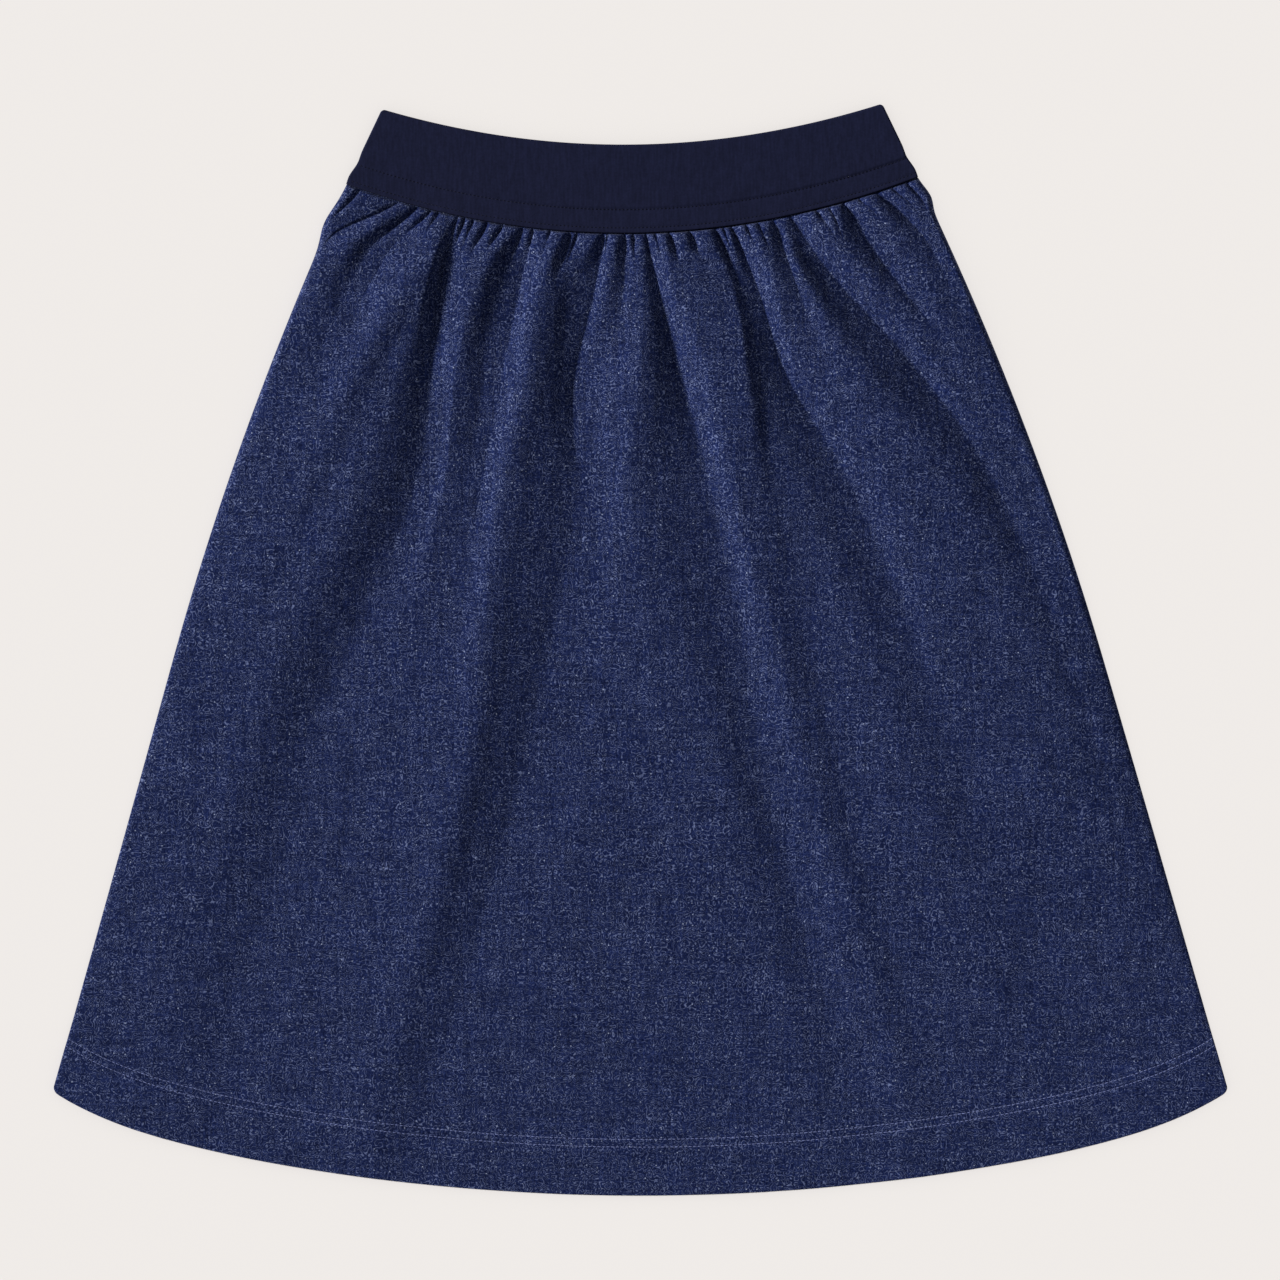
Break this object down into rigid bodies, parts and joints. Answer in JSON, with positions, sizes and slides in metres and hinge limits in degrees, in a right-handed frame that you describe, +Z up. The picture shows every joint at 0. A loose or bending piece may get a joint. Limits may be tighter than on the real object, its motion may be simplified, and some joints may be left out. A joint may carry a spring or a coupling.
{
  "type": "gathered skirt",
  "caption": "Knee-length A-line skirt of denim-look knit, gathered into a wide elastic waistband, laid flat.",
  "frame": {"origin": "centre of the skirt's outline, on the surface that it lies on", "axes": "+X to the wearer's left of a skirt seen from its front, across the hem; +Y from the hem to the waist; +Z up, out of the front panel"},
  "size_m": [0.7767, 0.7187, 0.0147],
  "materials": {
    "denim_knit": "matt melange denim-look knit",
    "waistband_knit": "matt fine rib knit, plain navy"
  },
  "bodies": {
    "root": {"skirt_front": "denim_knit", "skirt_back": "denim_knit", "waistband_front": "waistband_knit", "waistband_back": "waistband_knit"}
  },
  "joints": []
}
